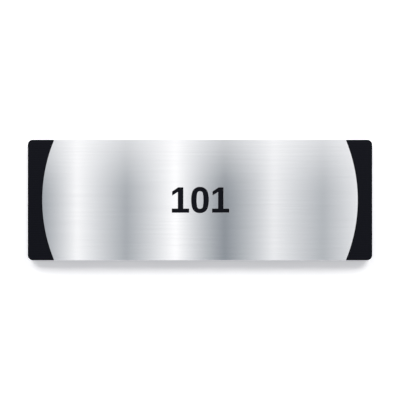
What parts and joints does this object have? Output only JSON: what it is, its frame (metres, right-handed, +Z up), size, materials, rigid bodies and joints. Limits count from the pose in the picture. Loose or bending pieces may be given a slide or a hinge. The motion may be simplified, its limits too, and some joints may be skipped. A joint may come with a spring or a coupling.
{
  "type": "door number plate",
  "caption": "Flat rectangular door number plate: brushed silver face with arched ends over a black core, plain engraved number, self-adhesive back.",
  "frame": {"origin": "middle of the plate on the surface of the door, at the back of the middle strip of tape", "axes": "+X along the plate to the reader's right, +Y into the door, +Z up; the face looks along -Y"},
  "size_m": [0.2, 0.0042, 0.07],
  "materials": {
    "black_core": "black ABS, matt where the engraving has cut it",
    "silver_face": "brushed along the plate's length, clear lacquer",
    "foam_tape": "white closed-cell foam, adhesive on both sides"
  },
  "bodies": {
    "root": {"black_core": "black_core", "silver_face": "silver_face", "tape_left": "foam_tape", "tape_middle": "foam_tape", "tape_right": "foam_tape"}
  },
  "joints": []
}
